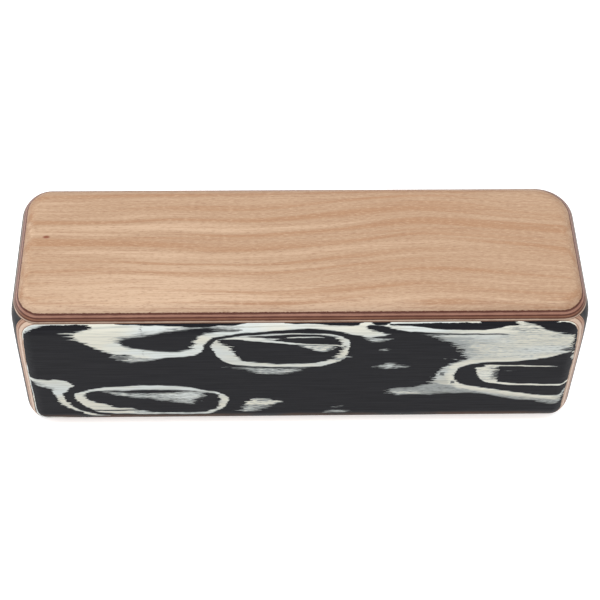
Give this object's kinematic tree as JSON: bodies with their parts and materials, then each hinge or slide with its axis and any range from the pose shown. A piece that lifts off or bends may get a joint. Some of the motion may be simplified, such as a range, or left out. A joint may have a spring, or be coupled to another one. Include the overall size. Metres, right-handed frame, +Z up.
{
  "type": "wooden shaker",
  "caption": "Closed hand-held box shaker: plywood with sanded round edges, light lid and floor, figured black and white long walls, dark ends, loose steel shot inside.",
  "frame": {"origin": "centre of the underside, on the surface the box rests on", "axes": "+X along the box, +Y from the front wall to the back wall, +Z up to the lid"},
  "size_m": [0.17, 0.0546, 0.0547],
  "materials": {
    "light_veneer": "satin clear finish",
    "figured_veneer": "satin, black and white figure",
    "pink_ply": "sanded",
    "brown_ply": "sanded",
    "pale_ply": "sanded",
    "tan_ply": "sanded",
    "dark_wood": "dyed through, sanded",
    "steel": "polished"
  },
  "bodies": {
    "case": {"top_face_veneer": "light_veneer", "top_outer_ply": "pink_ply", "top_core_ply": "brown_ply", "top_inner_ply": "pale_ply", "bottom_face_veneer": "light_veneer", "bottom_outer_ply": "pink_ply", "bottom_core_ply": "brown_ply", "bottom_inner_ply": "pale_ply", "front_face_veneer": "figured_veneer", "front_outer_ply": "tan_ply", "front_core_ply": "pink_ply", "front_inner_ply": "pale_ply", "back_face_veneer": "figured_veneer", "back_outer_ply": "tan_ply", "back_core_ply": "pink_ply", "back_inner_ply": "pale_ply", "left_end_board": "dark_wood", "right_end_board": "dark_wood"},
    "shot_01": {"steel_shot_01": "steel"},
    "shot_02": {"steel_shot_02": "steel"},
    "shot_03": {"steel_shot_03": "steel"},
    "shot_04": {"steel_shot_04": "steel"},
    "shot_05": {"steel_shot_05": "steel"},
    "shot_06": {"steel_shot_06": "steel"},
    "shot_07": {"steel_shot_07": "steel"},
    "shot_08": {"steel_shot_08": "steel"},
    "shot_09": {"steel_shot_09": "steel"},
    "shot_10": {"steel_shot_10": "steel"},
    "shot_11": {"steel_shot_11": "steel"},
    "shot_12": {"steel_shot_12": "steel"},
    "shot_13": {"steel_shot_13": "steel"},
    "shot_14": {"steel_shot_14": "steel"},
    "shot_15": {"steel_shot_15": "steel"},
    "shot_16": {"steel_shot_16": "steel"},
    "shot_17": {"steel_shot_17": "steel"},
    "shot_18": {"steel_shot_18": "steel"},
    "shot_19": {"steel_shot_19": "steel"},
    "shot_20": {"steel_shot_20": "steel"},
    "shot_21": {"steel_shot_21": "steel"},
    "shot_22": {"steel_shot_22": "steel"},
    "shot_23": {"steel_shot_23": "steel"},
    "shot_24": {"steel_shot_24": "steel"},
    "shot_25": {"steel_shot_25": "steel"},
    "shot_26": {"steel_shot_26": "steel"},
    "shot_27": {"steel_shot_27": "steel"},
    "shot_28": {"steel_shot_28": "steel"}
  },
  "joints": [
    {"name": "shot_01_throw", "type": "slide", "parent": "case", "child": "shot_01", "axis": [0, 0, 1], "range_m": [0, 0.0408]},
    {"name": "shot_02_throw", "type": "slide", "parent": "case", "child": "shot_02", "axis": [0, 0, 1], "range_m": [0, 0.0408]},
    {"name": "shot_03_throw", "type": "slide", "parent": "case", "child": "shot_03", "axis": [0, 0, 1], "range_m": [0, 0.0408]},
    {"name": "shot_04_throw", "type": "slide", "parent": "case", "child": "shot_04", "axis": [0, 0, 1], "range_m": [0, 0.0408]},
    {"name": "shot_05_throw", "type": "slide", "parent": "case", "child": "shot_05", "axis": [0, 0, 1], "range_m": [0, 0.0408]},
    {"name": "shot_06_throw", "type": "slide", "parent": "case", "child": "shot_06", "axis": [0, 0, 1], "range_m": [0, 0.0408]},
    {"name": "shot_07_throw", "type": "slide", "parent": "case", "child": "shot_07", "axis": [0, 0, 1], "range_m": [0, 0.0408]},
    {"name": "shot_08_throw", "type": "slide", "parent": "case", "child": "shot_08", "axis": [0, 0, 1], "range_m": [0, 0.0408]},
    {"name": "shot_09_throw", "type": "slide", "parent": "case", "child": "shot_09", "axis": [0, 0, 1], "range_m": [0, 0.0408]},
    {"name": "shot_10_throw", "type": "slide", "parent": "case", "child": "shot_10", "axis": [0, 0, 1], "range_m": [0, 0.0408]},
    {"name": "shot_11_throw", "type": "slide", "parent": "case", "child": "shot_11", "axis": [0, 0, 1], "range_m": [0, 0.0408]},
    {"name": "shot_12_throw", "type": "slide", "parent": "case", "child": "shot_12", "axis": [0, 0, 1], "range_m": [0, 0.0408]},
    {"name": "shot_13_throw", "type": "slide", "parent": "case", "child": "shot_13", "axis": [0, 0, 1], "range_m": [0, 0.0408]},
    {"name": "shot_14_throw", "type": "slide", "parent": "case", "child": "shot_14", "axis": [0, 0, 1], "range_m": [0, 0.0408]},
    {"name": "shot_15_throw", "type": "slide", "parent": "case", "child": "shot_15", "axis": [0, 0, 1], "range_m": [0, 0.0408]},
    {"name": "shot_16_throw", "type": "slide", "parent": "case", "child": "shot_16", "axis": [0, 0, 1], "range_m": [0, 0.0408]},
    {"name": "shot_17_throw", "type": "slide", "parent": "case", "child": "shot_17", "axis": [0, 0, 1], "range_m": [0, 0.0408]},
    {"name": "shot_18_throw", "type": "slide", "parent": "case", "child": "shot_18", "axis": [0, 0, 1], "range_m": [0, 0.0408]},
    {"name": "shot_19_throw", "type": "slide", "parent": "case", "child": "shot_19", "axis": [0, 0, 1], "range_m": [0, 0.0408]},
    {"name": "shot_20_throw", "type": "slide", "parent": "case", "child": "shot_20", "axis": [0, 0, 1], "range_m": [0, 0.0408]},
    {"name": "shot_21_throw", "type": "slide", "parent": "case", "child": "shot_21", "axis": [0, 0, 1], "range_m": [0, 0.0408]},
    {"name": "shot_22_throw", "type": "slide", "parent": "case", "child": "shot_22", "axis": [0, 0, 1], "range_m": [0, 0.0408]},
    {"name": "shot_23_throw", "type": "slide", "parent": "case", "child": "shot_23", "axis": [0, 0, 1], "range_m": [0, 0.0408]},
    {"name": "shot_24_throw", "type": "slide", "parent": "case", "child": "shot_24", "axis": [0, 0, 1], "range_m": [0, 0.0408]},
    {"name": "shot_25_throw", "type": "slide", "parent": "case", "child": "shot_25", "axis": [0, 0, 1], "range_m": [0, 0.0408]},
    {"name": "shot_26_throw", "type": "slide", "parent": "case", "child": "shot_26", "axis": [0, 0, 1], "range_m": [0, 0.0408]},
    {"name": "shot_27_throw", "type": "slide", "parent": "case", "child": "shot_27", "axis": [0, 0, 1], "range_m": [0, 0.0408]},
    {"name": "shot_28_throw", "type": "slide", "parent": "case", "child": "shot_28", "axis": [0, 0, 1], "range_m": [0, 0.0408]}
  ]
}
